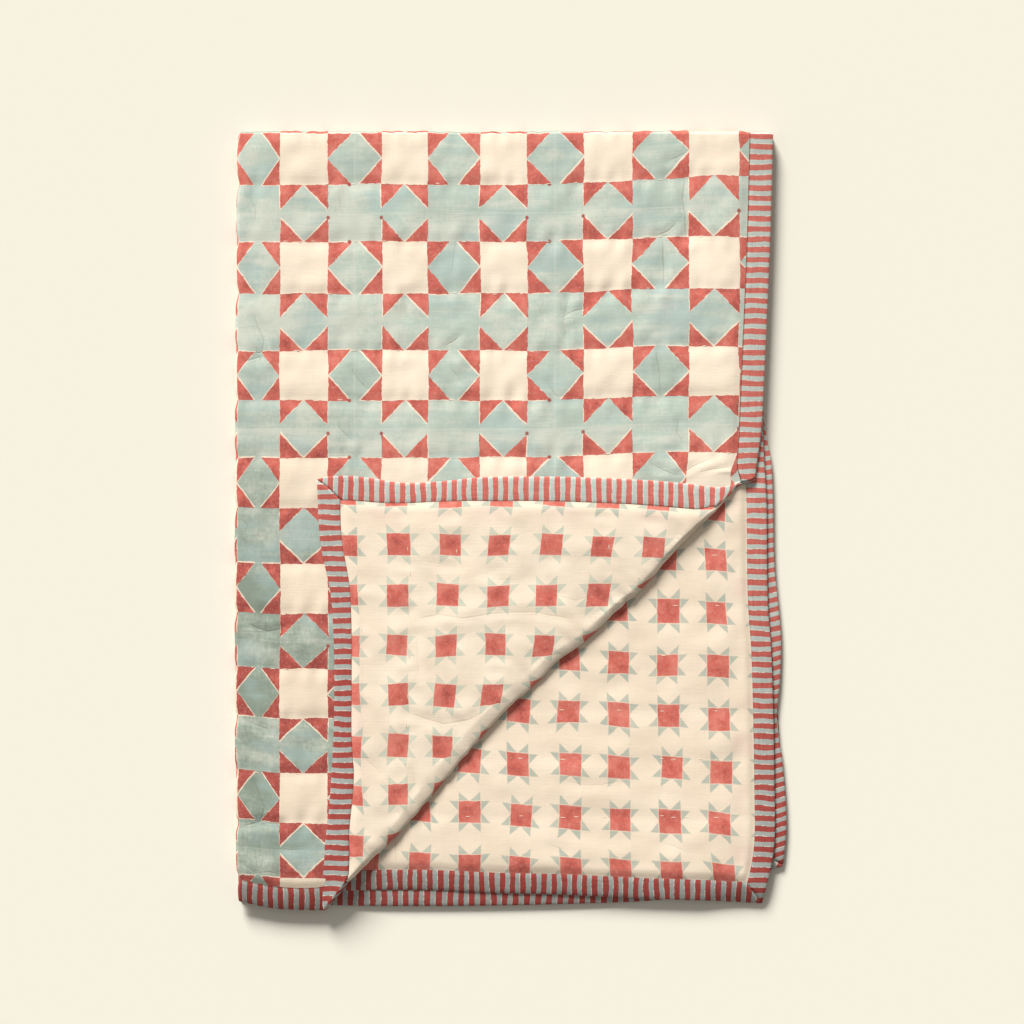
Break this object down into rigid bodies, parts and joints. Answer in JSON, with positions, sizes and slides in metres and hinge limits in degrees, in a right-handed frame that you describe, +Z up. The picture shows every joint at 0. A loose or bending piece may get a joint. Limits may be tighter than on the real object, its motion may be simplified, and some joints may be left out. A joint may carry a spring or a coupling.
{
  "type": "folded block-printed quilt",
  "caption": "Block-printed cotton quilt with a striped binding, folded in quarters, one corner turned back to show the star-printed reverse; a soft cover to lay on a shelf, bed or chair.",
  "frame": {"origin": "centre of the folded quilt's outline, on the surface that it lies on", "axes": "+X from the side fold to the free sides, +Y from the free ends to the end fold, +Z up"},
  "size_m": [0.6326, 0.8976, 0.032],
  "materials": {
    "printed_cotton": "matt block-printed cotton, quilted in rows of running stitch",
    "striped_binding": "matt cotton with red and blue-grey stripes"
  },
  "bodies": {
    "root": {"quilt": "printed_cotton", "binding_outer_side": "striped_binding", "binding_inner_side": "striped_binding", "binding_upper_end": "striped_binding", "binding_lower_end": "striped_binding"}
  },
  "joints": []
}
